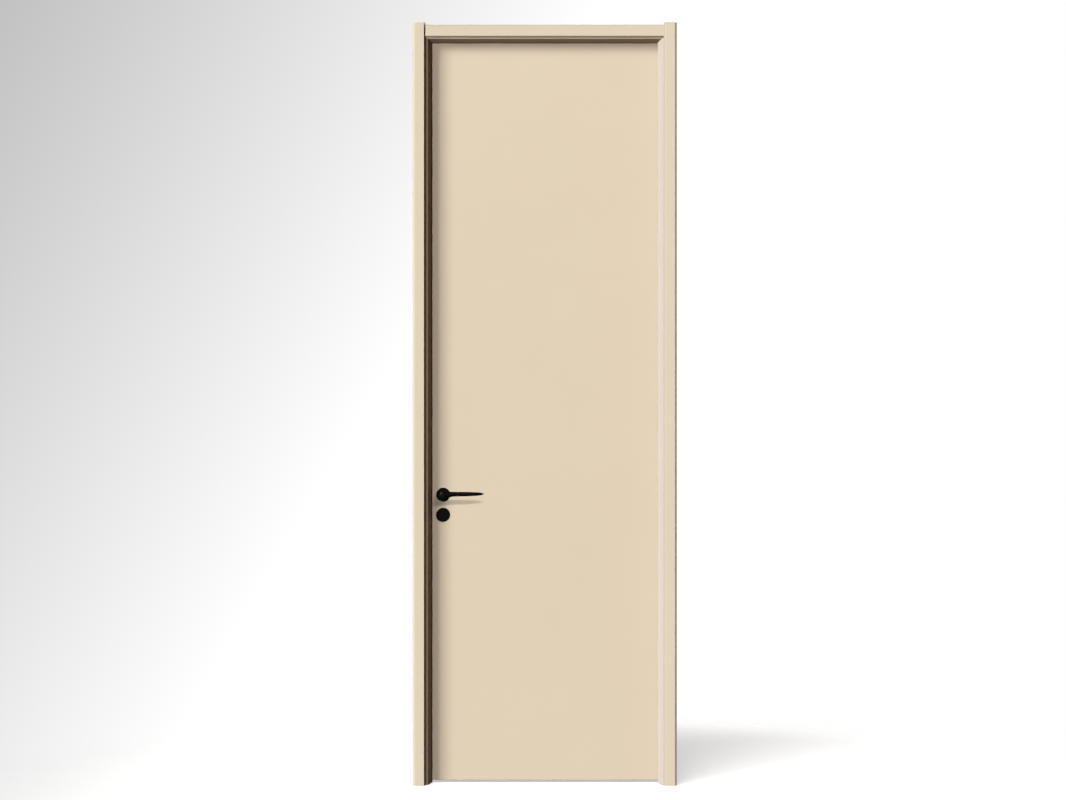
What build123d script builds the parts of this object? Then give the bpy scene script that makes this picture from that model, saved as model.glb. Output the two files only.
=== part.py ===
from build123d import *
import os

# A flush door hung in its lining, in millimetres. The origin is at the foot of the hinge side lining's
# back face, half way through the wall. +Z is up, +X leaves the hinge side, and -Y is the push side.

# Leaf
leaf_width = 840
leaf_height = 2660
leaf_thickness = 40
skin_thickness = 4
lipping_width = 12
leaf_arris = 1.5

# Gaps round the leaf
side_gap = 5
head_gap = 5
floor_gap = 8

# Lining
lining_thickness = 32
lining_depth = 120
housing_depth = 10

# Stops, splayed from a front lip to the full nose, and their seals. The lip is a share of the nose, so
# that the uprights and the head meet on one mitre.
side_stop_thickness = 18
head_stop_thickness = 10
stop_lip_share = 0.4
stop_setback = 6
splay_depth = 58
stop_to_leaf = 5
kerf_width = 3
kerf_depth = 7
seal_stem = 6
seal_radius = 4

# Casings. On the pull side they stand back from the opening, clear of the hinge barrels.
casing_width = 46
head_casing_width = 44
casing_thickness = 14
head_casing_thickness = 12
push_casing_reveal = 1
pull_casing_reveal = 6
casing_rise = 7
casing_lip = 3
outer_bevel = 7
inner_bevel = 5
head_inner_bevel = 3
casing_arris = 1.5
groove_setback = 12
tongue_thickness = 4
tongue_length = 12
groove_spare = 2

# Butt hinges
hinge_count = 4
hinge_height = 100
hinge_plate = 2.5
hinge_plate_depth = 30
knuckle_count = 5
knuckle_gap = 0.4
barrel_radius = 6.5
pin_radius = 3.95
pin_bore_radius = 4
pin_cap = 3
pin_cap_round = 1.2
bottom_hinge_height = 230
top_hinge_drop = 180

# Lever furniture
lever_height = 1036
lever_backset = 55
lower_disc_drop = 72
rose_radius = 25
rose_thickness = 7.5
rose_bevel = 1.5
rose_bore_radius = 10.4
neck_radius = 10
neck_start = 1.5
neck_end = 34
hub_radius = 12.5
hub_start = 42
hub_end = 54
hub_front = 58
blade_axis = 50
spindle_width = 8
spindle_grip = 15
spindle_bore_radius = 10

# Blade sections: distance from the spindle, half depth, half height and rise above the spindle
blade_sections = [
    (0, 7.5, 11.6, 0.8),
    (14, 6.6, 11.0, 1.6),
    (28, 5.8, 9.5, 2.6),
    (60, 5.0, 8.0, 3.4),
    (118, 4.4, 6.5, 3.9),
    (136, 3.2, 4.6, 4.0),
    (146, 1.3, 1.6, 4.0),
]

# Mortise lock and strike
case_thickness = 16
case_height = 165
case_depth = 85
case_bore_radius = 7
faceplate_width = 20
faceplate_height = 235
faceplate_thickness = 3
bolt_width = 12
latch_height = 24
dead_bolt_height = 34
dead_bolt_rise = 14
bolt_length = 40
strike_width = 26
strike_height = 190
strike_thickness = 2
strike_clearance = 2
strike_pocket = 16

UP = (0, 0, 1)
RIGHT = (1, 0, 0)
DOWN = (0, 0, -1)
INWARD = (0, 1, 0)

# Places worked out from the sizes above
clear_width = leaf_width + 2 * side_gap
clear_height = floor_gap + leaf_height + head_gap
lining_top = clear_height + lining_thickness
hinge_face = -lining_thickness
lock_face = hinge_face - clear_width
push_edge = -lining_depth / 2
pull_edge = lining_depth / 2
leaf_hinge_edge = hinge_face - side_gap
leaf_lock_edge = lock_face + side_gap
leaf_pull_face = pull_edge
leaf_push_face = leaf_pull_face - leaf_thickness
leaf_middle = (leaf_pull_face + leaf_push_face) / 2
leaf_bottom = floor_gap
leaf_top = floor_gap + leaf_height
stop_front = push_edge + stop_setback
splay_end = stop_front + splay_depth
stop_back = leaf_push_face - stop_to_leaf
groove_depth = tongue_length + groove_spare
lever_x = leaf_lock_edge + lever_backset
lower_disc_height = lever_height - lower_disc_drop
lock_middle = (lever_height + lower_disc_height) / 2
dead_bolt_z = lower_disc_height + dead_bolt_rise
knuckle_x = hinge_face - side_gap / 2
knuckle_y = pull_edge + barrel_radius
knuckle_length = (hinge_height - (knuckle_count - 1) * knuckle_gap) / knuckle_count
top_hinge_height = leaf_top - top_hinge_drop
hinge_pitch = (top_hinge_height - bottom_hinge_height) / (hinge_count - 1)
hinge_heights = [bottom_hinge_height + i * hinge_pitch for i in range(hinge_count)]


def profile_plane(origin, u_dir, v_dir):
    """A sketch plane whose first axis runs along u_dir and whose second runs along v_dir."""
    return Plane(origin=origin, x_dir=u_dir, z_dir=Vector(*u_dir).cross(Vector(*v_dir)))


def block(low, high, mode=Mode.ADD):
    """A squared block between two corners."""
    size = [b - a for a, b in zip(low, high)]
    middle = [(a + b) / 2 for a, b in zip(low, high)]
    with Locations(tuple(middle)):
        Box(*size, mode=mode)


def bore_through(x, z, radius, y_from, y_to):
    """A round hole along Y."""
    with Locations((x, (y_from + y_to) / 2, z)):
        Cylinder(radius, y_to - y_from, rotation=(90, 0, 0), mode=Mode.SUBTRACT)


def finish(piece, name):
    """Name a finished piece and write it."""
    piece.part.label = name
    export_step(piece.part, f"parts/{name}.step")


os.makedirs("parts", exist_ok=True)


# Linings: two uprights with the head housed between them, grooved on both edges for the casings


def upright_lining(face, away):
    """An upright from its face to its back, grooved on both edges and housed for the head."""
    back = face + away * lining_thickness
    groove_near = face + away * groove_setback
    groove_far = groove_near + away * tongue_thickness
    xs = sorted((face, back))
    groove_xs = sorted((groove_near, groove_far))
    housing_xs = sorted((face, face + away * housing_depth))
    block((xs[0], push_edge, 0), (xs[1], pull_edge, lining_top))
    block((groove_xs[0], push_edge, 0), (groove_xs[1], push_edge + groove_depth, lining_top), Mode.SUBTRACT)
    block((groove_xs[0], pull_edge - groove_depth, 0), (groove_xs[1], pull_edge, lining_top), Mode.SUBTRACT)
    block((housing_xs[0], push_edge, clear_height), (housing_xs[1], pull_edge, lining_top), Mode.SUBTRACT)


with BuildPart() as lining_hinge_side:
    upright_lining(hinge_face, 1)
    for hinge_z in hinge_heights:
        plate_low = (hinge_face, pull_edge - hinge_plate_depth, hinge_z - hinge_height / 2)
        plate_high = (hinge_face + hinge_plate, pull_edge, hinge_z + hinge_height / 2)
        block(plate_low, plate_high, Mode.SUBTRACT)
finish(lining_hinge_side, "lining_hinge_side")

strike_low_y = leaf_middle - strike_width / 2
strike_high_y = leaf_middle + strike_width / 2
bolt_low_y = leaf_middle - bolt_width / 2 - strike_clearance
bolt_high_y = leaf_middle + bolt_width / 2 + strike_clearance
latch_span = (lever_height - latch_height / 2, lever_height + latch_height / 2)
dead_bolt_span = (dead_bolt_z - dead_bolt_height / 2, dead_bolt_z + dead_bolt_height / 2)

with BuildPart() as lining_lock_side:
    upright_lining(lock_face, -1)
    strike_low = (lock_face - strike_thickness, strike_low_y, lock_middle - strike_height / 2)
    strike_high = (lock_face, strike_high_y, lock_middle + strike_height / 2)
    block(strike_low, strike_high, Mode.SUBTRACT)
    for span in (latch_span, dead_bolt_span):
        pocket_low = (lock_face - strike_pocket, bolt_low_y, span[0] - strike_clearance)
        pocket_high = (lock_face, bolt_high_y, span[1] + strike_clearance)
        block(pocket_low, pocket_high, Mode.SUBTRACT)
finish(lining_lock_side, "lining_lock_side")

with BuildPart() as lining_head:
    head_low_x = lock_face - housing_depth
    head_high_x = hinge_face + housing_depth
    groove_z = clear_height + groove_setback
    block((head_low_x, push_edge, clear_height), (head_high_x, pull_edge, lining_top))
    for edge, inner in ((push_edge, push_edge + groove_depth), (pull_edge, pull_edge - groove_depth)):
        ys = sorted((edge, inner))
        groove_low = (head_low_x, ys[0], groove_z)
        groove_high = (head_high_x, ys[1], groove_z + tongue_thickness)
        block(groove_low, groove_high, Mode.SUBTRACT)
finish(lining_head, "lining_head")

with BuildPart() as strike_plate:
    block(strike_low, strike_high)
    for span in (latch_span, dead_bolt_span):
        window_low = (strike_low[0], bolt_low_y, span[0] - strike_clearance)
        window_high = (lock_face, bolt_high_y, span[1] + strike_clearance)
        block(window_low, window_high, Mode.SUBTRACT)
finish(strike_plate, "strike_plate")


# Stops: a splayed front rising to a flat nose, with a saw kerf in the back for the seal's stem

def stop_section(thickness):
    """The stop's section: first axis out of the lining, second towards the leaf."""
    with BuildSketch() as section:
        with BuildLine():
            Polyline(
                (0, stop_front),
                (thickness * stop_lip_share, stop_front),
                (thickness, splay_end),
                (thickness, stop_back),
                (0, stop_back),
                close=True,
            )
        make_face()
        with Locations((thickness / 2, stop_back - kerf_depth / 2)):
            Rectangle(kerf_width, kerf_depth, mode=Mode.SUBTRACT)
    return section.sketch


def seal_section(thickness):
    """A stem that fills the kerf's width, and a half round bulb between the stop and the leaf."""
    with BuildSketch() as section:
        with Locations((thickness / 2, stop_back)):
            Circle(seal_radius)
            with Locations((0, -seal_radius)):
                Rectangle(2 * seal_radius, 2 * seal_radius, mode=Mode.SUBTRACT)
            with Locations((0, -seal_stem / 2)):
                Rectangle(kerf_width, seal_stem)
    return section.sketch


def mitre_wedge(face, into, third):
    """What is cut off a stop beyond the mitre between an upright stop and the head stop."""
    with BuildSketch(profile_plane((0, stop_front, 0), RIGHT, UP)) as wedge:
        with BuildLine():
            nose_corner = (face + into * side_stop_thickness, clear_height - head_stop_thickness)
            Polyline((face, clear_height), nose_corner, third, close=True)
        make_face()
    return wedge.sketch


def upright_stop(face, into):
    """A stop on an upright, from the floor to its mitre."""
    with BuildPart() as stop:
        with BuildSketch(profile_plane((face, 0, 0), (into, 0, 0), INWARD)):
            add(stop_section(side_stop_thickness))
        extrude(amount=clear_height, dir=UP)
        wedge = mitre_wedge(face, into, (face + into * side_stop_thickness, clear_height))
        extrude(wedge, amount=stop_back - stop_front, dir=INWARD, mode=Mode.SUBTRACT)
    return stop


finish(upright_stop(lock_face, 1), "stop_lock_side")
finish(upright_stop(hinge_face, -1), "stop_hinge_side")

with BuildPart() as stop_head:
    with BuildSketch(profile_plane((lock_face, 0, clear_height), DOWN, INWARD)):
        add(stop_section(head_stop_thickness))
    extrude(amount=clear_width, dir=RIGHT)
    for face, into in ((lock_face, 1), (hinge_face, -1)):
        wedge = mitre_wedge(face, into, (face, clear_height - head_stop_thickness))
        extrude(wedge, amount=stop_back - stop_front, dir=INWARD, mode=Mode.SUBTRACT)
finish(stop_head, "stop_head")

side_seal_edge = side_stop_thickness / 2 + seal_radius
seal_top = clear_height - head_stop_thickness / 2 - kerf_width / 2


def upright_seal(face, into):
    """A seal behind an upright stop."""
    with BuildPart() as seal:
        with BuildSketch(profile_plane((face, 0, 0), (into, 0, 0), INWARD)):
            add(seal_section(side_stop_thickness))
        extrude(amount=seal_top, dir=UP)
    return seal


finish(upright_seal(lock_face, 1), "seal_lock_side")
finish(upright_seal(hinge_face, -1), "seal_hinge_side")

with BuildPart() as seal_head:
    with BuildSketch(profile_plane((lock_face + side_seal_edge, 0, clear_height), DOWN, INWARD)):
        add(seal_section(head_stop_thickness))
    extrude(amount=clear_width - 2 * side_seal_edge, dir=RIGHT)
finish(seal_head, "seal_head")


# Casings: a flat face between two bevels, held by a tongue in the lining's groove

def casing_section(width, thickness, bevel):
    """The casing's section: first axis away from the opening, second out of the wall."""
    with BuildSketch() as section:
        with BuildLine():
            Polyline(
                (0, 0),
                (0, casing_lip),
                (bevel, thickness),
                (width - outer_bevel, thickness),
                (width, casing_lip),
                (width, 0),
                close=True,
            )
        make_face()
        fillet(section.vertices().group_by(Axis.Y)[-1], casing_arris)
    return section.sketch


def tongue_section(reveal):
    """The tongue behind the casing, where the lining's groove is."""
    with BuildSketch() as section:
        with Locations((groove_setback - reveal + tongue_thickness / 2, -tongue_length / 2)):
            Rectangle(tongue_thickness, tongue_length)
    return section.sketch


def side_casing(face, away, wall_y, out, reveal):
    """An upright casing. Its tongue stops at the lining's top, and the board runs on past it."""
    section = profile_plane((face + away * reveal, wall_y, 0), (away, 0, 0), (0, out, 0))
    with BuildPart() as casing:
        with BuildSketch(section):
            add(casing_section(casing_width, casing_thickness, inner_bevel))
        extrude(amount=clear_height + reveal + head_casing_width + casing_rise, dir=UP)
        with BuildSketch(section):
            add(tongue_section(reveal))
        extrude(amount=lining_top, dir=UP)
    return casing


def head_casing(wall_y, out, reveal):
    """The head casing, cut square between the two uprights."""
    start = (lock_face - reveal, wall_y, clear_height + reveal)
    with BuildPart() as casing:
        with BuildSketch(profile_plane(start, UP, (0, out, 0))):
            add(casing_section(head_casing_width, head_casing_thickness, head_inner_bevel))
            add(tongue_section(reveal))
        extrude(amount=clear_width + 2 * reveal, dir=RIGHT)
    return casing


for wall_name, wall_y, out, reveal in (
    ("front", push_edge, -1, push_casing_reveal),
    ("back", pull_edge, 1, pull_casing_reveal),
):
    finish(side_casing(lock_face, -1, wall_y, out, reveal), f"{wall_name}_casing_left")
    finish(side_casing(hinge_face, 1, wall_y, out, reveal), f"{wall_name}_casing_right")
    finish(head_casing(wall_y, out, reveal), f"{wall_name}_casing_head")


# Leaf: a core inside four lippings, faced on both sides

core_low = (leaf_lock_edge + lipping_width, leaf_push_face + skin_thickness, leaf_bottom + lipping_width)
core_high = (leaf_hinge_edge - lipping_width, leaf_pull_face - skin_thickness, leaf_top - lipping_width)
case_low = (
    leaf_lock_edge + faceplate_thickness,
    leaf_middle - case_thickness / 2,
    lock_middle - case_height / 2,
)
case_high = (
    leaf_lock_edge + faceplate_thickness + case_depth,
    leaf_middle + case_thickness / 2,
    lock_middle + case_height / 2,
)
faceplate_low = (
    leaf_lock_edge,
    leaf_middle - faceplate_width / 2,
    lock_middle - faceplate_height / 2,
)
faceplate_high = (
    leaf_lock_edge + faceplate_thickness,
    leaf_middle + faceplate_width / 2,
    lock_middle + faceplate_height / 2,
)

with BuildPart() as leaf_core:
    block(core_low, core_high)
    block(case_low, case_high, Mode.SUBTRACT)
    bore_through(lever_x, lever_height, spindle_bore_radius, core_low[1], core_high[1])
finish(leaf_core, "leaf_core")

with BuildPart() as leaf_front_skin:
    block((leaf_lock_edge, leaf_push_face, leaf_bottom), (leaf_hinge_edge, core_low[1], leaf_top))
    fillet(leaf_front_skin.faces().sort_by(Axis.Y)[0].edges(), leaf_arris)
    bore_through(lever_x, lever_height, spindle_bore_radius, leaf_push_face, core_low[1])
finish(leaf_front_skin, "leaf_front_skin")


def hinge_plate_pockets(y_from, y_to):
    """Recesses in the leaf's hinge edge for the plates of the hinges."""
    for height in hinge_heights:
        low = (leaf_hinge_edge - hinge_plate, y_from, height - hinge_height / 2)
        high = (leaf_hinge_edge, y_to, height + hinge_height / 2)
        block(low, high, Mode.SUBTRACT)


with BuildPart() as leaf_back_skin:
    block((leaf_lock_edge, core_high[1], leaf_bottom), (leaf_hinge_edge, leaf_pull_face, leaf_top))
    fillet(leaf_back_skin.faces().sort_by(Axis.Y)[-1].edges(), leaf_arris)
    bore_through(lever_x, lever_height, spindle_bore_radius, core_high[1], leaf_pull_face)
    hinge_plate_pockets(core_high[1], leaf_pull_face)
finish(leaf_back_skin, "leaf_back_skin")

with BuildPart() as lipping_lock_edge:
    block((leaf_lock_edge, core_low[1], leaf_bottom), (core_low[0], core_high[1], leaf_top))
    block(case_low, case_high, Mode.SUBTRACT)
    block(faceplate_low, faceplate_high, Mode.SUBTRACT)
finish(lipping_lock_edge, "lipping_lock_edge")

with BuildPart() as lipping_hinge_edge:
    block((core_high[0], core_low[1], leaf_bottom), (leaf_hinge_edge, core_high[1], leaf_top))
    hinge_plate_pockets(pull_edge - hinge_plate_depth, core_high[1])
finish(lipping_hinge_edge, "lipping_hinge_edge")

with BuildPart() as lipping_ends:
    block((core_low[0], core_low[1], core_high[2]), (core_high[0], core_high[1], leaf_top))
    block((core_low[0], core_low[1], leaf_bottom), (core_high[0], core_high[1], core_low[2]))
finish(lipping_ends, "lipping_ends")


# Mortise lock: its case inside the leaf, its faceplate flush with the edge, and both bolts drawn

def bolt_block(span, x_to, mode):
    """The space of one bolt, from the leaf's edge inwards."""
    low = (leaf_lock_edge, leaf_middle - bolt_width / 2, span[0])
    high = (x_to, leaf_middle + bolt_width / 2, span[1])
    block(low, high, mode)


with BuildPart() as lock_case:
    block(case_low, case_high)
    for span in (latch_span, dead_bolt_span):
        bolt_block(span, leaf_lock_edge + bolt_length, Mode.SUBTRACT)
    bore_through(lever_x, lever_height, case_bore_radius, case_low[1], case_high[1])
finish(lock_case, "lock_case")

with BuildPart() as lock_faceplate:
    block(faceplate_low, faceplate_high)
    for span in (latch_span, dead_bolt_span):
        bolt_block(span, faceplate_high[0], Mode.SUBTRACT)
finish(lock_faceplate, "lock_faceplate")

with BuildPart() as latch_bolt:
    bolt_block(latch_span, leaf_lock_edge + bolt_length, Mode.ADD)
finish(latch_bolt, "latch_bolt")

with BuildPart() as dead_bolt:
    bolt_block(dead_bolt_span, leaf_lock_edge + bolt_length, Mode.ADD)
finish(dead_bolt, "dead_bolt")


# Hinges: a plate let into the lining, a plate let into the leaf, and a capped pin through the knuckles

def hinge_half(hinge_z, plate_from, plate_to, first_knuckle):
    """One plate with every second knuckle, bored for the pin."""
    bottom = hinge_z - hinge_height / 2
    xs = sorted((plate_from, plate_to))
    with BuildPart() as half:
        block((xs[0], pull_edge - hinge_plate_depth, bottom), (xs[1], pull_edge, bottom + hinge_height))
        for index in range(first_knuckle, knuckle_count, 2):
            foot = bottom + index * (knuckle_length + knuckle_gap)
            block((xs[0], pull_edge, foot), (xs[1], knuckle_y, foot + knuckle_length))
            with BuildSketch(Plane((knuckle_x, knuckle_y, foot))):
                Circle(barrel_radius)
            extrude(amount=knuckle_length)
        with BuildSketch(Plane((knuckle_x, knuckle_y, bottom))):
            Circle(pin_bore_radius)
        extrude(amount=hinge_height, mode=Mode.SUBTRACT)
    return half


def capped_pin(hinge_z):
    """A pin with a rounded cap at each end."""
    foot = hinge_z - hinge_height / 2
    with BuildPart() as pin:
        with BuildSketch(Plane((knuckle_x, knuckle_y, foot))):
            Circle(pin_radius)
        extrude(amount=hinge_height)
        for cap_foot in (foot - pin_cap, foot + hinge_height):
            with BuildSketch(Plane((knuckle_x, knuckle_y, cap_foot))):
                Circle(barrel_radius)
            extrude(amount=pin_cap)
        rims = pin.edges().filter_by(GeomType.CIRCLE).sort_by(Axis.Z)
        fillet((rims[0], rims[-1]), pin_cap_round)
    return pin


for number, hinge_z in enumerate(hinge_heights, start=1):
    finish(hinge_half(hinge_z, hinge_face, hinge_face + hinge_plate, 0), f"hinge_frame_leaf_{number}")
    finish(hinge_half(hinge_z, leaf_hinge_edge, leaf_hinge_edge - hinge_plate, 1), f"hinge_door_leaf_{number}")
    finish(capped_pin(hinge_z), f"hinge_pin_{number}")


# Lever furniture: a rose, a plain disc and a lever on each side, with one spindle through the leaf

def rose(face_y, out, height, inner_radius):
    """A round rose with a bevelled rim, turned about the axis of what it covers."""
    plane = profile_plane((lever_x, face_y, height), RIGHT, (0, out, 0))
    with BuildPart() as turned:
        with BuildSketch(plane):
            with BuildLine():
                Polyline(
                    (inner_radius, 0),
                    (rose_radius, 0),
                    (rose_radius, rose_thickness - rose_bevel),
                    (rose_radius - rose_bevel, rose_thickness),
                    (inner_radius, rose_thickness),
                    close=True,
                )
            make_face()
        revolve(axis=Axis(plane.origin, plane.y_dir))
    return turned


def lever(face_y, out):
    """A turned neck and hub, and a blade that tapers from the hub to a point."""
    plane = profile_plane((lever_x, face_y, lever_height), RIGHT, (0, out, 0))
    blade_y = face_y + out * blade_axis
    half = spindle_width / 2
    socket_ys = sorted((face_y + out * neck_start, face_y - out * spindle_grip, face_y + out * spindle_grip))
    with BuildPart() as handle:
        with BuildSketch(plane):
            with BuildLine():
                Polyline((0, hub_front), (0, neck_start), (neck_radius, neck_start), (neck_radius, neck_end))
                Spline((neck_radius, neck_end), (hub_radius, hub_start), tangents=((0, 1), (0, 1)))
                Line((hub_radius, hub_start), (hub_radius, hub_end))
                Spline((hub_radius, hub_end), (0, hub_front), tangents=((0, 1), (-1, 0)))
            make_face()
        revolve(axis=Axis(plane.origin, plane.y_dir))
        for distance, half_depth, half_height, rise in blade_sections:
            with BuildSketch(profile_plane((lever_x + distance, blade_y, lever_height + rise), INWARD, UP)):
                Ellipse(half_depth, half_height)
        loft()
        block(
            (lever_x - half, socket_ys[0], lever_height - half),
            (lever_x + half, socket_ys[-1], lever_height + half),
            Mode.SUBTRACT,
        )
    return handle


for side_name, face_y, out in (("front", leaf_push_face, -1), ("back", leaf_pull_face, 1)):
    finish(rose(face_y, out, lever_height, rose_bore_radius), f"{side_name}_rosette")
    finish(rose(face_y, out, lower_disc_height, 0), f"{side_name}_lower_disc")
    finish(lever(face_y, out), f"{side_name}_lever")

with BuildPart() as spindle:
    spindle_half = spindle_width / 2
    spindle_low = (lever_x - spindle_half, leaf_push_face - spindle_grip, lever_height - spindle_half)
    spindle_high = (lever_x + spindle_half, leaf_pull_face + spindle_grip, lever_height + spindle_half)
    block(spindle_low, spindle_high)
finish(spindle, "spindle")
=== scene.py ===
import math

import bmesh
import bpy
from mathutils import Matrix, Vector


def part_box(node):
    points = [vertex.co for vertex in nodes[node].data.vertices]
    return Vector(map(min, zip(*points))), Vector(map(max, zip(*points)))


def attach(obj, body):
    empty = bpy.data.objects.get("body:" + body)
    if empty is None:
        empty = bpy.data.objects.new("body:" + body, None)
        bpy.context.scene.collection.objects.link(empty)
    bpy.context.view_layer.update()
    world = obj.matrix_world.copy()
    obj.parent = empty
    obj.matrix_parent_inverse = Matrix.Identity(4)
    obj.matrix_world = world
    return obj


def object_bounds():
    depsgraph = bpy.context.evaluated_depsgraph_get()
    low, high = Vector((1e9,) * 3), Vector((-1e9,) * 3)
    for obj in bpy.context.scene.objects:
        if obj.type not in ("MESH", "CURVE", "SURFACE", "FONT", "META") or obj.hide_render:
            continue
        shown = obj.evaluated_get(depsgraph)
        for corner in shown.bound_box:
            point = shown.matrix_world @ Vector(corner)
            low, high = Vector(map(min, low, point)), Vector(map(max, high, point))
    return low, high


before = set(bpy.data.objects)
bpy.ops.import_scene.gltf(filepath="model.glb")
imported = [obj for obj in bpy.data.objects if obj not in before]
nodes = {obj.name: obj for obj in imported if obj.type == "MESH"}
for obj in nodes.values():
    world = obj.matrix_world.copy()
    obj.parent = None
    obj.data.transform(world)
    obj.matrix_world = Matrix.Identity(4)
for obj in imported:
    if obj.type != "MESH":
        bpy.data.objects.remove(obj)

cad_low, cad_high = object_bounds()

# The object's own places, read from the frame
leaf_low, leaf_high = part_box("leaf_front_skin")
lining_low, lining_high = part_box("lining_hinge_side")
lock_lining_low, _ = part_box("lining_lock_side")
_, head_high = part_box("lining_head")
casing_low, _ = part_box("front_casing_left")
front_y = casing_low.y
push_wall_y = lining_low.y
pull_wall_y = lining_high.y
centre_x = (leaf_low.x + leaf_high.x) / 2

# Finishes, with their colours in linear light
PAINT = (0.783, 0.676, 0.512, 1)
PAINT_SHADE = (0.772, 0.665, 0.502, 1)
RAW_BOARD = (0.36, 0.245, 0.145, 1)
RAW_BOARD_SHADE = (0.28, 0.18, 0.1, 1)
RAW_BOARD_ROUGHNESS = 0.85
BLACK = (0.001, 0.0013, 0.0012, 1)
BLACK_SHADE = (0.0018, 0.0022, 0.002, 1)
STEEL = (0.45, 0.45, 0.44, 1)
STEEL_SHADE = (0.3, 0.3, 0.3, 1)
RUBBER = (0.02, 0.016, 0.012, 1)
RUBBER_SHADE = (0.032, 0.026, 0.02, 1)
CHIP_LIGHT = (0.55, 0.38, 0.22, 1)
CHIP_DARK = (0.3, 0.18, 0.09, 1)
CHIP_SCALE = 210

# How much darker the paint looks to bounced light, and towards which colour: painted shade, which keeps
# reveals and recesses dark and warm
BOUNCE_LOSS = 0.95
BOUNCE_TINT = (0.1, 0.04, 0.015, 1)

# How the grain is drawn out along an axis, as a scale for each
FIBRES_ALONG_Z = (1, 1, 0.25)
STROKES_ALONG_X = (0.06, 1, 1)
CHIPS_ALONG_Z = (1, 1, 0.45)


# Materials

class Tree:
    """A node tree, and ways to add linked nodes to it."""

    def __init__(self, tree):
        self.tree = tree

    def link(self, source, target):
        self.tree.links.new(source, target)

    def feed(self, node, inputs):
        """Gives each input its own value, or a link where the value is another node's output."""
        for key, value in inputs.items():
            if isinstance(value, bpy.types.NodeSocket):
                self.link(value, node.inputs[key])
            else:
                node.inputs[key].default_value = value

    def node(self, kind, inputs=None, **settings):
        made = self.tree.nodes.new(kind)
        for key, value in settings.items():
            setattr(made, key, value)
        self.feed(made, inputs or {})
        return made

    def math(self, operation, first, second):
        made = self.node("ShaderNodeMath", {0: first, 1: second}, operation=operation)
        return made.outputs["Value"]

    def mix(self, amount, first, second):
        """A colour between two colours or sockets."""
        inputs = {"Factor": amount, "A": first, "B": second}
        return self.node("ShaderNodeMix", inputs, data_type="RGBA").outputs["Result"]


class Shader(Tree):
    """A principled material and the nodes that are added to it."""

    def __init__(self, name):
        self.material = bpy.data.materials.new(name)
        self.material.use_nodes = True
        super().__init__(self.material.node_tree)
        self.place = self.node("ShaderNodeTexCoord").outputs["Object"]

    def stretched(self, scale):
        """The object's coordinates, scaled by axis."""
        return self.node("ShaderNodeMapping", {"Scale": scale, "Vector": self.place}).outputs["Vector"]

    def noise(self, scale, detail, place=None):
        inputs = {"Scale": scale, "Detail": detail, "Vector": place or self.place}
        return self.node("ShaderNodeTexNoise", inputs).outputs["Fac"]

    def ranged(self, value, low, high, start=0.35, end=0.65):
        """A value that goes from low to high while the one given goes from start to end."""
        inputs = {"From Min": start, "From Max": end, "To Min": low, "To Max": high, "Value": value}
        return self.node("ShaderNodeMapRange", inputs).outputs["Result"]

    def bump(self, height, strength, distance, below=None):
        """A bumped surface, on top of another one if it is given."""
        inputs = {"Strength": strength, "Distance": distance, "Height": height}
        if below:
            inputs["Normal"] = below
        return self.node("ShaderNodeBump", inputs).outputs["Normal"]

    def dressed(self, colour, roughness, normal, values):
        """The material, with its looks linked and the other values set on the shader's own sockets."""
        bsdf = self.tree.nodes["Principled BSDF"]
        self.feed(bsdf, {"Base Color": colour, "Roughness": roughness, "Normal": normal})
        self.feed(bsdf, values)
        return self.material


def beyond(shader, planes):
    """1 where a point lies on or beyond any of the planes, each an axis name, a side and a place."""
    split = shader.node("ShaderNodeSeparateXYZ", {"Vector": shader.place})
    mask = None
    for axis, side, place in planes:
        operation = "GREATER_THAN" if side > 0 else "LESS_THAN"
        here = shader.math(operation, split.outputs[axis], place)
        mask = here if mask is None else shader.math("MAXIMUM", mask, here)
    return mask


def satin_paint(name, raw_planes=()):
    """Sprayed satin lacquer with a fine peel, and bare board where a face lies against the wall."""
    shader = Shader(name)
    clouds = shader.ranged(shader.noise(scale=2.2, detail=4), low=0, high=1, start=0.3, end=0.7)
    colour = shader.mix(clouds, PAINT, PAINT_SHADE)
    rough = shader.ranged(shader.noise(scale=9, detail=5), low=0.36, high=0.44)
    if raw_planes:
        bare = beyond(shader, raw_planes)
        fibres = shader.noise(scale=420, detail=6, place=shader.stretched(FIBRES_ALONG_Z))
        board = shader.mix(shader.ranged(fibres, low=0, high=1), RAW_BOARD, RAW_BOARD_SHADE)
        colour = shader.mix(bare, colour, board)
        rough = shader.math("MAXIMUM", rough, shader.math("MULTIPLY", bare, RAW_BOARD_ROUGHNESS))
    # Bounced rays see the paint nearly dark brown: painted shade that deepens and warms the shade in
    # reveals and recesses
    path = shader.node("ShaderNodeLightPath")
    bounced = shader.math("MAXIMUM", path.outputs["Is Diffuse Ray"], path.outputs["Is Glossy Ray"])
    colour = shader.mix(shader.math("MULTIPLY", bounced, BOUNCE_LOSS), colour, BOUNCE_TINT)
    waves = shader.bump(shader.noise(scale=55, detail=2), strength=0.05, distance=0.0006)
    peel = shader.bump(shader.noise(scale=700, detail=2), strength=0.12, distance=0.00012, below=waves)
    return shader.dressed(colour, rough, peel, {"Specular IOR Level": 0.35})


def satin_black(name):
    """Black powder coat on turned and cast metal."""
    shader = Shader(name)
    clouds = shader.ranged(shader.noise(scale=160, detail=5), low=0, high=1)
    colour = shader.mix(clouds, BLACK, BLACK_SHADE)
    rough = shader.ranged(shader.noise(scale=300, detail=4), low=0.3, high=0.38)
    grains = shader.bump(shader.noise(scale=2600, detail=2), strength=0.12, distance=0.00005)
    return shader.dressed(colour, rough, grains, {"Specular IOR Level": 0.16})


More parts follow.
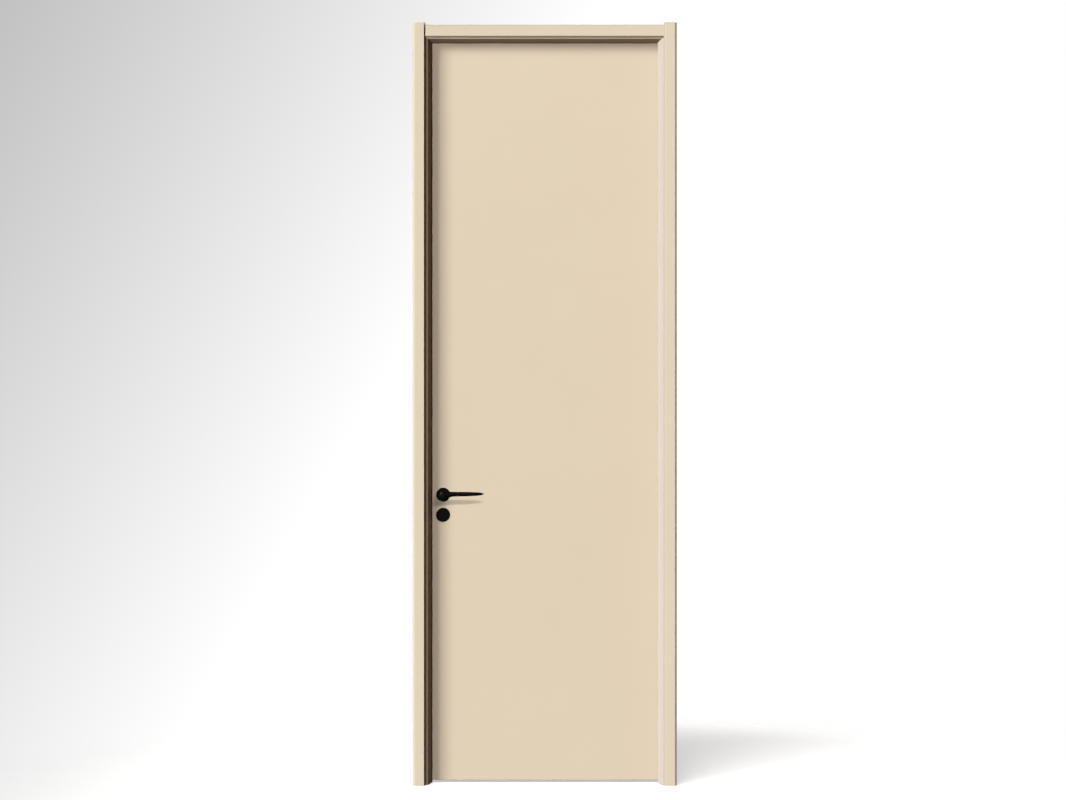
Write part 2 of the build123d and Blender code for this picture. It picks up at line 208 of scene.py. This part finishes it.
def brushed_steel(name):
    """Bolts and the lock's case, brushed along their length."""
    shader = Shader(name)
    strokes = shader.noise(scale=260, detail=4, place=shader.stretched(STROKES_ALONG_X))
    colour = shader.mix(shader.ranged(strokes, low=0, high=1), STEEL, STEEL_SHADE)
    rough = shader.ranged(strokes, low=0.28, high=0.42)
    grooves = shader.bump(strokes, strength=0.15, distance=0.00008)
    return shader.dressed(colour, rough, grooves, {"Metallic": 1.0})


def seal_rubber(name):
    """The soft seal: matt, slightly mottled."""
    shader = Shader(name)
    mottle = shader.ranged(shader.noise(scale=90, detail=4), low=0, high=1)
    colour = shader.mix(mottle, RUBBER, RUBBER_SHADE)
    rough = shader.ranged(shader.noise(scale=200, detail=3), low=0.6, high=0.75)
    grains = shader.bump(shader.noise(scale=1400, detail=3), strength=0.2, distance=0.00008)
    return shader.dressed(colour, rough, grains, {"Specular IOR Level": 0.25})


def chipboard(name):
    """The core's pressed chips."""
    shader = Shader(name)
    inputs = {"Scale": CHIP_SCALE, "Vector": shader.stretched(CHIPS_ALONG_Z)}
    chips = shader.node("ShaderNodeTexVoronoi", inputs)
    shade = shader.node("ShaderNodeSeparateColor", {"Color": chips.outputs["Color"]})
    colour = shader.mix(shade.outputs["Red"], CHIP_LIGHT, CHIP_DARK)
    rough = shader.ranged(shade.outputs["Green"], low=0.75, high=0.9, start=0, end=1)
    relief = shader.bump(chips.outputs["Distance"], strength=0.4, distance=0.0005)
    return shader.dressed(colour, rough, relief, {})


# Bare faces lie within this depth of the wall
SKIN = 0.0004
lining_backs = (
    ("X", 1, lining_high.x - SKIN),
    ("X", -1, lock_lining_low.x + SKIN),
    ("Z", 1, head_high.z - SKIN),
)
leaf_paint = satin_paint("leaf_paint")
lining_paint = satin_paint("lining_paint", lining_backs)
front_casing_paint = satin_paint("front_casing_paint", (("Y", 1, push_wall_y - SKIN),))
back_casing_paint = satin_paint("back_casing_paint", (("Y", -1, pull_wall_y + SKIN),))
black_metal = satin_black("black_metal")
lock_steel = brushed_steel("lock_steel")
rubber = seal_rubber("seal_rubber")
core_board = chipboard("core_board")

# The finish of each node by how its name starts. The longest start counts, and the rest is black metal
finish_of_prefix = {
    "lining_": lining_paint,
    "stop_": lining_paint,
    "seal_": rubber,
    "front_casing_": front_casing_paint,
    "back_casing_": back_casing_paint,
    "leaf_": leaf_paint,
    "lipping_": leaf_paint,
    "leaf_core": core_board,
    "lock_case": lock_steel,
    "latch_bolt": lock_steel,
    "dead_bolt": lock_steel,
    "spindle": lock_steel,
}
for name, node in nodes.items():
    matches = [prefix for prefix in finish_of_prefix if name.startswith(prefix)]
    finish = finish_of_prefix[max(matches, key=len)] if matches else black_metal
    node.data.materials.clear()
    node.data.materials.append(finish)


def new_piece(name, mesh):
    """A piece in the scene from a mesh that is built."""
    data = bpy.data.meshes.new(name)
    mesh.to_mesh(data)
    mesh.free()
    piece = bpy.data.objects.new(name, data)
    bpy.context.scene.collection.objects.link(piece)
    return piece


# Screws: raised countersunk heads with a cross recess

HINGE_SCREW = 0.0042
LOCK_SCREW = 0.0036
SCREW_INSET = 0.009
SCREW_RINGS = 7
SCREW_SIDES = 24

# Places on a hinge plate, as shares of its depth and of half its height
HINGE_SCREW_PLACES = ((0.3, -0.8), (0.62, -0.28), (0.62, 0.28), (0.3, 0.8))

# The dome's height as a share of the radius, and its fall towards the rim
DOME_HEIGHT = 0.16
DOME_FALL = 0.96

# The cross: its arms' width and reach, its middle's reach, and the share of the dome's height left in it
ARM_WIDTH = 0.5
ARM_REACH = 0.62
MIDDLE_REACH = 0.3
CROSS_LEVEL = 0.25


def screw_head(mesh, place, axis, radius):
    """Adds one head to a mesh: a low dome whose middle is pressed in as a cross."""
    height = radius * DOME_HEIGHT
    seat = Matrix.Translation(place) @ axis.to_track_quat("Z", "Y").to_matrix().to_4x4()
    angles = [2 * math.pi * side / SCREW_SIDES for side in range(SCREW_SIDES)]

    def vertex(angle, reach, level):
        return mesh.verts.new(seat @ Vector((reach * math.cos(angle), reach * math.sin(angle), level)))

    rows = []
    for ring in range(1, SCREW_RINGS + 1):
        share = ring / SCREW_RINGS
        dome = height * math.sqrt(1 - share * share * DOME_FALL)
        row = []
        for angle in angles:
            cross_reach = ARM_REACH if abs(math.sin(2 * angle)) < ARM_WIDTH else MIDDLE_REACH
            level = dome * CROSS_LEVEL if share < cross_reach else dome
            row.append(vertex(angle, radius * share, level))
        rows.append(row)
    middle = vertex(0, 0, height * CROSS_LEVEL)
    foot = [vertex(angle, radius, -height) for angle in angles]
    rows.append(foot)
    for side in range(SCREW_SIDES):
        after = (side + 1) % SCREW_SIDES
        mesh.faces.new((middle, rows[0][side], rows[0][after]))
        for inner, outer in zip(rows, rows[1:]):
            mesh.faces.new((inner[side], outer[side], outer[after], inner[after]))
    mesh.faces.new(foot[::-1])


def screw_set(name, body, places, axis, radius):
    """Several screws as one piece that rides on a body."""
    mesh = bmesh.new()
    for place in places:
        screw_head(mesh, Vector(place), Vector(axis), radius)
    piece = new_piece(name, mesh)
    piece.data.materials.append(black_metal)
    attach(piece, body)


hinge_count = sum(name.startswith("hinge_pin_") for name in nodes)
for number in range(1, hinge_count + 1):
    for node_name, body, side in (
        (f"hinge_frame_leaf_{number}", "frame", -1),
        (f"hinge_door_leaf_{number}", "leaf", 1),
    ):
        low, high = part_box(node_name)
        plate_x = lining_low.x if side < 0 else leaf_high.x
        plate_depth = pull_wall_y - low.y
        middle_z = (low.z + high.z) / 2
        half_height = (high.z - low.z) / 2
        places = [
            (plate_x, low.y + plate_depth * across, middle_z + half_height * along)
            for across, along in HINGE_SCREW_PLACES
        ]
        screw_set(f"hinge_screws_{body}_{number}", body, places, (side, 0, 0), HINGE_SCREW)

for node_name, piece_name, body, side in (
    ("lock_faceplate", "faceplate_screws", "leaf", -1),
    ("strike_plate", "strike_screws", "frame", 1),
):
    low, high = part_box(node_name)
    face_x = low.x if side < 0 else high.x
    middle_y = (low.y + high.y) / 2
    places = [(face_x, middle_y, z) for z in (low.z + SCREW_INSET, high.z - SCREW_INSET)]
    screw_set(piece_name, body, places, (side, 0, 0), LOCK_SCREW)


# Shade lip: a thin dark rubber fin that reaches past the stop on the lock side and at the head, standing
# in for the shadow in the gap there (painted shade); the lit hinge side has none

LIP_REACH_SIDE = 0.003
LIP_REACH_HEAD = 0.0016
LIP_ROOT = 0.006
LIP_CLEAR = 0.0003
LIP_THICKNESS = 0.0016
LIP_ROUND = 5


def lip_section(reach):
    """Places across the fin: how far past the stop's edge, and how far behind its back."""
    half = LIP_THICKNESS / 2
    root = [(-LIP_ROOT, LIP_THICKNESS), (-LIP_ROOT, 0)]
    angles = [math.pi * step / LIP_ROUND - math.pi / 2 for step in range(LIP_ROUND + 1)]
    tip = [(reach - half + half * math.cos(angle), half + half * math.sin(angle)) for angle in angles]
    return root + tip


def shade_lip(name, corner, inward, reach, start, end, along):
    """The dark fin along one stop, put where the gap lies in shade as painted shade. Inward points into
    the opening, and along runs from start to end.
    """
    mesh = bmesh.new()
    near, far = (
        [
            mesh.verts.new(corner + inward * past + along * place + Vector((0, LIP_CLEAR + behind, 0)))
            for past, behind in lip_section(reach)
        ]
        for place in (start, end)
    )
    count = len(near)
    for step in range(count):
        after = (step + 1) % count
        mesh.faces.new((near[step], near[after], far[after], far[step]))
    mesh.faces.new(near[::-1])
    mesh.faces.new(far)
    bmesh.ops.recalc_face_normals(mesh, faces=mesh.faces[:])
    piece = new_piece(name, mesh)
    piece.data.materials.append(rubber)
    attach(piece, "frame")


stop_low, stop_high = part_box("stop_lock_side")
hinge_stop_low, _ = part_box("stop_hinge_side")
head_stop_low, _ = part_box("stop_head")
# Fins only on the shaded lock side and the head: a dark piece put where there is only shade
shade_lip(
    "seal_lip_lock_side", Vector((stop_high.x, stop_high.y, 0)), Vector((1, 0, 0)), LIP_REACH_SIDE,
    stop_low.z, head_stop_low.z, Vector((0, 0, 1)),
)
shade_lip(
    "seal_lip_head", Vector((0, stop_high.y, head_stop_low.z)), Vector((0, 0, -1)), LIP_REACH_HEAD,
    stop_high.x, hinge_stop_low.x, Vector((1, 0, 0)),
)


# Camera: square on to the door, at chest height, a little left of the door's centre line

CAMERA_DISTANCE = 10.0
CAMERA_HEIGHT = 1.377
CAMERA_LEFT = 0.0418
CAMERA_SIGHT = 100
FRAME_WIDTH = 3.8046
SENSOR = 36.0

camera_data = bpy.data.cameras.new("camera")
camera_data.sensor_width = SENSOR
camera_data.lens = SENSOR * CAMERA_DISTANCE / FRAME_WIDTH
camera_data.clip_end = CAMERA_SIGHT
camera = bpy.data.objects.new("camera", camera_data)
camera.location = (centre_x - CAMERA_LEFT, front_y - CAMERA_DISTANCE, CAMERA_HEIGHT)
camera.rotation_euler = (math.pi / 2, 0, 0)
bpy.context.scene.collection.objects.link(camera)
bpy.context.scene.camera = camera


# Light. Each source is as bright as its level, the share of full light on a surface that faces it, and
# as broad as its spread, in degrees. Azimuth 0 is the camera's side and 90 is +X.

LIGHT_DISTANCE = 80
FULL_LIGHT = (math.pi * LIGHT_DISTANCE) ** 2
WHITE = (1, 1, 1)

# Azimuth, elevation, spread across and up, level, colour
SOFT_LIGHTS = {
    "leaf_key": (-35, 19, (25, 20), 0.795, (0.98, 1, 0.99)),
    "right_casing_light": (-33, 19, (20, 15), 1.27, (0.975, 0.975, 1)),
    "left_casing_light": (-41, 12, (8, 8), 1.27, WHITE),
    "head_casing_light": (22, 35, (9, 9), 0.96, WHITE),
    "head_casing_fill": (22, -35, (9, 9), 0.27, WHITE),
    "dark_jamb_light": (0, 5, (9, 9), 0.03, WHITE),
    "head_jamb_light": (0, -8, (9, 9), 0.52, WHITE),
    "lit_stop_light": (-45, 3, (14, 8), 1.65, (0.844, 0.875, 1)),
    "head_stop_light": (-5, -15, (14, 9), 0.21, (1, 0.9, 0.8)),
    "dark_stop_light": (-15, 5, (9, 9), 0.19, (1, 0.92, 0.86)),
    "floor_light": (-20, 53, (32, 20), 1.06, WHITE),
    "frame_key": (-35, 15, (25, 20), 0.76, WHITE),
    "frame_fill": (-25, 27, (7, 7), 0.45, WHITE),
    "right_side": (96, 10, (6, 14), 0.34, WHITE),
    "back_fill": (160, 30, (33, 25), 0.72, WHITE),
    "back_left": (-138, 12, (20, 20), 0.43, WHITE),
    "back_right": (112, 12, (20, 20), 0.34, WHITE),
}

# The one piece that each of these lights reaches
PIECE_OF_LIGHT = {
    "right_casing_light": "front_casing_right",
    "left_casing_light": "front_casing_left",
    "head_casing_light": "front_casing_head",
    "head_casing_fill": "front_casing_head",
    "dark_jamb_light": "lining_lock_side",
    "head_jamb_light": "lining_head",
    "lit_stop_light": "stop_hinge_side",
    "head_stop_light": "stop_head",
    "dark_stop_light": "stop_lock_side",
}

# The long strip: its ends, height and thickness are shares of its distance, and each part has a share
# of its level
STRIP_LEVEL = 0.375
STRIP_COLOUR = (1, 0.92, 0.91)
STRIP_UP = 0.607
STRIP_ENDS = (-0.2, 0.15, 0.5, 0.95)
STRIP_SHARES = (0.42, 0.33, 0.25)
STRIP_THICKNESS = 0.06


def piece_set(name, pieces, state):
    """The pieces that a light alone reaches or is blocked by, or that it passes over."""
    chosen = bpy.data.collections.new(name)
    for piece in pieces:
        chosen.objects.link(piece)
    for entry in chosen.collection_objects:
        entry.light_linking.link_state = state
    return chosen


def area_light(name, place, facing, size, energy, colour):
    """A rectangular light at a place, with the side away from the object turned to facing."""
    data = bpy.data.lights.new(name, "AREA")
    data.shape = "RECTANGLE"
    data.size, data.size_y = size
    data.energy = energy
    data.color = colour
    light = bpy.data.objects.new(name, data)
    light.location = Vector((centre_x, 0, (cad_low.z + cad_high.z) / 2)) + place
    light.rotation_euler = facing.to_track_quat("Z", "Y").to_euler()
    light.visible_camera = False
    bpy.context.scene.collection.objects.link(light)
    return light


def soft_light(name):
    """A light from the table, which faces the middle of the door."""
    azimuth, elevation, spread, level, colour = SOFT_LIGHTS[name]
    turn, rise = math.radians(azimuth), math.radians(elevation)
    away = Vector((math.sin(turn) * math.cos(rise), -math.cos(turn) * math.cos(rise), math.sin(rise)))
    size = [2 * LIGHT_DISTANCE * math.tan(math.radians(angle) / 2) for angle in spread]
    return area_light(name, away * LIGHT_DISTANCE, away, size, level * FULL_LIGHT, colour)


def strip_light(name, left, right, level):
    """A part of the strip. It is square on to the door, so the energy makes up for the slant to it."""
    away = Vector(((left + right) / 2, -1, STRIP_UP))
    size = ((right - left) * LIGHT_DISTANCE, STRIP_THICKNESS * LIGHT_DISTANCE)
    energy = level * FULL_LIGHT * away.length ** 4
    return area_light(name, away * LIGHT_DISTANCE, Vector((0, -1, 0)), size, energy, STRIP_COLOUR)


FLOOR_RADIUS = 3.0
FLOOR_DROP = 0.0003
FLOOR_SIDES = 96
floor_mesh = bmesh.new()
bmesh.ops.create_circle(floor_mesh, cap_ends=True, radius=FLOOR_RADIUS, segments=FLOOR_SIDES)
floor = new_piece("floor", floor_mesh)
floor.location = (centre_x, 0, -FLOOR_DROP)

skin = nodes["leaf_front_skin"]
handles = [nodes[name] for name in ("front_lever", "front_rosette", "front_lower_disc")]
left_of_leaf = [nodes[name] for name in ("front_casing_left", "lining_lock_side", "stop_lock_side")]
front_sides = [nodes[name] for name in ("front_casing_left", "front_casing_right")]
skin_alone = piece_set("skin_alone", [skin], "INCLUDE")
handles_and_left = piece_set("handles_and_left", handles + left_of_leaf, "INCLUDE")
all_but_floor = piece_set("all_but_floor", [floor], "EXCLUDE")

# The leaf's face: a broad source from the left, and a long strip from above whose light the handle stops
leaf_key = soft_light("leaf_key")
leaf_key.light_linking.receiver_collection = skin_alone
leaf_key.light_linking.blocker_collection = piece_set("all_but_handles", handles, "EXCLUDE")
for part, share in enumerate(STRIP_SHARES):
    left, right = STRIP_ENDS[part:part + 2]
    strip = strip_light(f"strip_{part}", left, right, STRIP_LEVEL * share)
    strip.light_linking.receiver_collection = skin_alone
    strip.light_linking.blocker_collection = handles_and_left

# One source or two for each of the pieces whose tone depends on it most. The right casing's isn't stopped
# by the head casing.
light_of_piece = {name: soft_light(name) for name in PIECE_OF_LIGHT}
for name, light in light_of_piece.items():
    receivers = piece_set(f"{name}_alone", [nodes[PIECE_OF_LIGHT[name]]], "INCLUDE")
    light.light_linking.receiver_collection = receivers
light_of_piece["right_casing_light"].light_linking.blocker_collection = piece_set(
    "all_but_head_casing", [nodes["front_casing_head"]], "EXCLUDE"
)
floor_light = soft_light("floor_light")
floor_light.light_linking.receiver_collection = piece_set("floor_alone", [floor], "INCLUDE")

# The frame and all else, with the head stop too, which takes this light besides its own
lit_alone = set(PIECE_OF_LIGHT.values()) - {"stop_head"}
all_else = piece_set("all_else", [floor, skin] + [nodes[name] for name in sorted(lit_alone)], "EXCLUDE")
for name in ("frame_key", "frame_fill"):
    soft_light(name).light_linking.receiver_collection = all_else
for name in ("right_side", "back_fill"):
    soft_light(name).light_linking.receiver_collection = all_but_floor
all_behind = piece_set("all_behind", [floor] + front_sides, "EXCLUDE")
for name in ("back_left", "back_right"):
    light = soft_light(name)
    light.light_linking.receiver_collection = all_behind
    light.visible_glossy = False


# Background: white to the right, falling to grey at the upper left

AMBIENT = 0.035
WARM_AMBIENT = (1, 0.72, 0.5, 1)
GREY_EDGE = 0.735
AT_CENTRE = 1.07
PER_RIGHT = 1.2
PER_UP = -0.686
LEFT_LIMIT = -0.2
GAMMA = 2.2


def toned(tree, level):
    """A screen level between the grey edge and white, in linear light."""
    level = tree.math("MAXIMUM", tree.math("MINIMUM", level, 1), GREY_EDGE)
    return tree.math("POWER", level, GAMMA)


world = bpy.data.worlds.new("studio")
bpy.context.scene.world = world
world.use_nodes = True
sky = Tree(world.node_tree)
sight = sky.node("ShaderNodeTexCoord").outputs["Generated"]
direction = sky.node("ShaderNodeSeparateXYZ", {"Vector": sight})
sideways = sky.math("MULTIPLY", sky.math("MAXIMUM", direction.outputs["X"], LEFT_LIMIT), PER_RIGHT)
upward = sky.math("MULTIPLY", direction.outputs["Z"], PER_UP)
tone = toned(sky, sky.math("ADD", sky.math("ADD", sideways, upward), AT_CENTRE))
path = sky.node("ShaderNodeLightPath")
seen = sky.math("MAXIMUM", path.outputs["Is Camera Ray"], path.outputs["Is Transmission Ray"])
unseen = sky.math("MULTIPLY", sky.math("SUBTRACT", 1, seen), AMBIENT)
sky.feed(sky.tree.nodes["Background"], {
    "Strength": sky.math("ADD", sky.math("MULTIPLY", seen, tone), unseen),
    "Color": sky.mix(seen, WARM_AMBIENT, (*WHITE, 1)),
})


# Floor: a pale disc that takes the shadow and fades into the background

FADE_START = 1.6
FADE_END = 2.3
FLOOR_GAIN = 0.83
FLOOR_BOUNCE = 0.1
FLOOR_GLOW = 0.508
FLOOR_TONE = 1.158
FLOOR_TONE_PER_METRE = 0.148

pale = Shader("pale_floor")
seen = pale.node("ShaderNodeLightPath").outputs["Is Camera Ray"]
across = pale.node("ShaderNodeSeparateXYZ", {"Vector": pale.place}).outputs["X"]
slope = pale.math("MULTIPLY", across, FLOOR_TONE_PER_METRE)
tone = toned(pale, pale.math("ADD", slope, FLOOR_TONE))
mottle = pale.ranged(pale.noise(scale=3, detail=3), low=0.99, high=1.01)
gain = pale.math("MULTIPLY", pale.math("MULTIPLY", tone, mottle), FLOOR_GAIN)
gain = pale.math("MAXIMUM", pale.math("MULTIPLY", seen, gain), FLOOR_BOUNCE)
grey = pale.node("ShaderNodeCombineColor", {channel: gain for channel in ("Red", "Green", "Blue")})
matt = pale.node("ShaderNodeBsdfDiffuse", {"Color": grey.outputs["Color"]})
strength = pale.math("MULTIPLY", pale.math("MULTIPLY", seen, tone), FLOOR_GLOW)
glow = pale.node("ShaderNodeEmission", {"Strength": strength})
lit = pale.node("ShaderNodeAddShader", {0: matt.outputs["BSDF"], 1: glow.outputs["Emission"]})
reach = pale.node("ShaderNodeVectorMath", {0: pale.place}, operation="LENGTH")
distances = {"From Min": FADE_START, "From Max": FADE_END, "Value": reach.outputs["Value"]}
fade = pale.node("ShaderNodeMapRange", distances, interpolation_type="SMOOTHSTEP")
clear = pale.node("ShaderNodeBsdfTransparent")
blend = pale.node("ShaderNodeMixShader", {
    "Fac": fade.outputs["Result"],
    1: lit.outputs["Shader"],
    2: clear.outputs["BSDF"],
})
pale.link(blend.outputs["Shader"], pale.tree.nodes["Material Output"].inputs["Surface"])
floor.data.materials.append(pale.material)

bpy.context.scene.view_settings.view_transform = "Standard"
